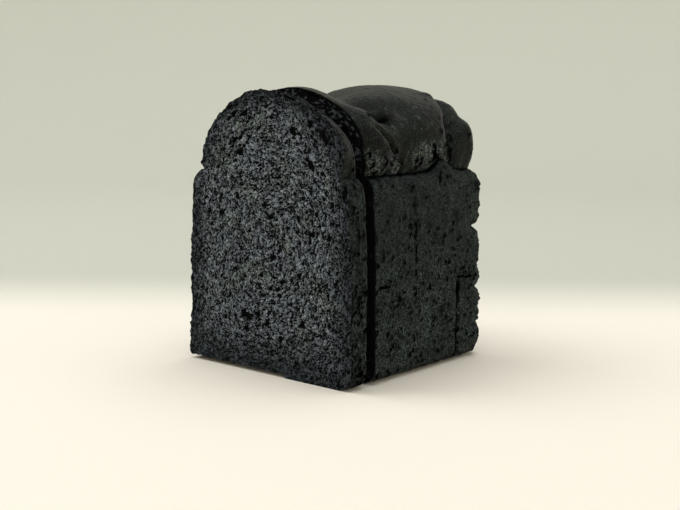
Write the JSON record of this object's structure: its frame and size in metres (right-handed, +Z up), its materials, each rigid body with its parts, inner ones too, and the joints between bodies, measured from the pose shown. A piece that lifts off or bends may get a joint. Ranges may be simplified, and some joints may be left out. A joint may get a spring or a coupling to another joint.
{
  "type": "black tin loaf with one cut slice",
  "caption": "Charcoal-black sandwich loaf with a domed top above its tin-shaped sides and its first slice cut and standing just in front of it.",
  "frame": {"origin": "middle of the base, under the centre of the bounding box", "axes": "+Z up, -Y the way the cut face of the slice looks, +X the side wall on the right of that face"},
  "size_m": [0.1227, 0.1248, 0.1587],
  "materials": {
    "crumb": "porous matt bread crumb, charcoal black",
    "crust": "dry baked crust, charcoal black"
  },
  "bodies": {
    "root": {"front_slice": "crumb", "loaf": "crust"}
  },
  "joints": []
}
